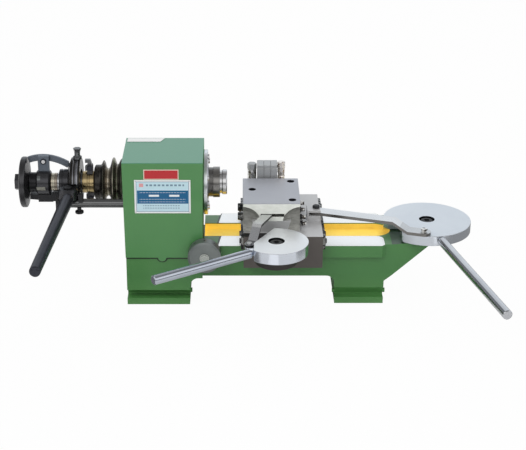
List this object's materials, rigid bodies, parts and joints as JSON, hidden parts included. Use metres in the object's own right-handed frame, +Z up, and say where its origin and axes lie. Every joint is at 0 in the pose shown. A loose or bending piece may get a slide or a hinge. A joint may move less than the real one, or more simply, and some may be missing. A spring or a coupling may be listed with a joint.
{
  "type": "instrument lathe",
  "caption": "Bench instrument lathe with a collet headstock, lever closer, flat ways and lever-fed carriage and cross slide.",
  "frame": {"origin": "middle of the underside of the headstock's foot, straight below the spindle axis", "axes": "+X along the bed and the spindle axis, away from the headstock; +Z up; the operator stands at -Y"},
  "size_m": [0.8945, 0.5078, 0.2939],
  "materials": {
    "green_paint": "gloss enamel over cast iron",
    "cover_paint": "gloss enamel over sheet steel",
    "black_steel": "oiled black oxide",
    "bright_steel": "turned",
    "blued_steel": "blue-grey",
    "ground_steel": "ground",
    "chrome": "polished",
    "brass": "turned",
    "red_plate": "printed plate, no words",
    "blue_plate": "printed plate, no words",
    "white_label": "printed label, no words"
  },
  "bodies": {
    "base": {"bed_casting": "green_paint", "headstock_casting": "green_paint", "headstock_cover": "cover_paint", "front_bearing_cap": "black_steel", "front_bearing": "bright_steel", "rear_bearing": "bright_steel", "red_plate": "red_plate", "data_plate": "blue_plate", "top_label": "white_label", "lever_pivot_pin": "bright_steel", "bar_clamp_knob": "black_steel", "support_bar": "black_steel", "cradle_arm": "black_steel", "guide_block": "black_steel", "lug_plate": "blued_steel", "lug_pin": "bright_steel", "stop_arm": "blued_steel"},
    "spindle": {"spindle_shaft": "bright_steel", "nose_ring": "black_steel", "collet": "bright_steel", "step_pulley": "black_steel", "finger_carrier": "brass"},
    "finger_top": {"closer_finger_top": "blued_steel"},
    "finger_bottom": {"closer_finger_bottom": "blued_steel"},
    "draw": {"draw_tube": "bright_steel", "draw_handwheel": "black_steel", "end_nut": "black_steel", "brass_sleeve": "brass", "lock_ring": "bright_steel"},
    "collar": {"shift_collar": "black_steel"},
    "ring": {"shift_ring": "black_steel", "ring_top_bolt": "bright_steel"},
    "lever": {"closer_lever": "black_steel"},
    "adjuster": {"adjusting_wheel": "ground_steel", "adjusting_shaft": "bright_steel"},
    "carriage": {"saddle": "ground_steel", "wiper_left": "black_steel", "wiper_right": "black_steel", "small_crank_bracket": "black_steel", "clevis_pin": "bright_steel"},
    "top_slide": {"cross_slide": "ground_steel", "gib_screw_1": "bright_steel", "gib_screw_2": "bright_steel", "gib_screw_3": "bright_steel", "gib_screw_4": "bright_steel", "stop_knob_1": "black_steel", "stop_knob_2": "black_steel", "tool_post_plate_1": "ground_steel", "tool_post_plate_2": "ground_steel", "tool_post_plate_3": "ground_steel", "tool_post_bolt_left": "bright_steel", "tool_post_bolt_right": "brass"},
    "carriage_crank": {"carriage_crank_disc": "chrome", "carriage_pivot_screw": "black_steel", "carriage_crank_handle": "chrome"},
    "slide_crank": {"slide_crank_disc": "chrome", "slide_pivot_screw": "black_steel", "slide_crank_handle": "chrome"},
    "arm": {"carriage_arm": "chrome"},
    "link": {"slide_link": "chrome"}
  },
  "joints": [
    {"name": "spindle_turn", "type": "hinge", "parent": "base", "child": "spindle", "pos_m": [0, 0, 0.221], "axis": [1, 0, 0], "continuous": true},
    {"name": "lever_swing", "type": "hinge", "parent": "base", "child": "lever", "pos_m": [-0.17, -0.053, 0.2], "axis": [0, 0, 1], "range_deg": [-12, 0]},
    {"name": "ring_shift", "type": "slide", "parent": "base", "child": "ring", "axis": [1, 0, 0], "range_m": [0, 0.0049]},
    {"name": "collar_shift", "type": "slide", "parent": "spindle", "child": "collar", "axis": [1, 0, 0], "range_m": [0, 0.0049]},
    {"name": "finger_top_tilt", "type": "hinge", "parent": "spindle", "child": "finger_top", "pos_m": [-0.1315, 0, 0.252], "axis": [0, 1, 0], "range_deg": [0, 3.2]},
    {"name": "finger_bottom_tilt", "type": "hinge", "parent": "spindle", "child": "finger_bottom", "pos_m": [-0.1315, 0, 0.19], "axis": [0, 1, 0], "range_deg": [-3.2, 0]},
    {"name": "draw_pull", "type": "slide", "parent": "spindle", "child": "draw", "axis": [1, 0, 0], "range_m": [-0.0013, 0]},
    {"name": "adjuster_turn", "type": "hinge", "parent": "base", "child": "adjuster", "pos_m": [0.089, 0, 0.111], "axis": [0, 1, 0], "continuous": true},
    {"name": "carriage_feed", "type": "slide", "parent": "base", "child": "carriage", "axis": [1, 0, 0], "range_m": [-0.02, 0.02]},
    {"name": "carriage_crank_turn", "type": "hinge", "parent": "base", "child": "carriage_crank", "pos_m": [0.521, 0, 0.13], "axis": [0, 0, 1], "range_deg": [-14.5, 14.5]},
    {"name": "arm_turn", "type": "hinge", "parent": "carriage", "child": "arm", "pos_m": [0.304, -0.008, 0.16], "axis": [0, 0, 1], "range_deg": [-1.3, 1.3]},
    {"name": "cross_feed", "type": "slide", "parent": "carriage", "child": "top_slide", "axis": [0, 1, 0], "range_m": [-0.008, 0.014]},
    {"name": "slide_crank_turn", "type": "hinge", "parent": "carriage", "child": "slide_crank", "pos_m": [0.223, -0.1615, 0.15], "axis": [0, 0, 1], "range_deg": [-15.9, 9.2]},
    {"name": "link_turn", "type": "hinge", "parent": "top_slide", "child": "link", "pos_m": [0.217, -0.062, 0.186], "axis": [0, 0, 1], "range_deg": [-0.4, 0.4]}
  ],
  "couplings": [
    {"joint": "ring_shift", "follows": "lever_swing", "m_per_rad": -0.0232},
    {"joint": "collar_shift", "follows": "lever_swing", "m_per_rad": -0.0232},
    {"joint": "finger_top_tilt", "follows": "lever_swing", "ratio": -0.25},
    {"joint": "finger_bottom_tilt", "follows": "lever_swing", "ratio": 0.25},
    {"joint": "draw_pull", "follows": "lever_swing", "m_per_rad": 0.0057},
    {"joint": "carriage_crank_turn", "follows": "carriage_feed", "rad_per_m": 12.375},
    {"joint": "arm_turn", "follows": "carriage_feed", "rad_per_m": -0.9333},
    {"joint": "slide_crank_turn", "follows": "cross_feed", "rad_per_m": -19.425},
    {"joint": "link_turn", "follows": "cross_feed", "rad_per_m": 0.2}
  ]
}
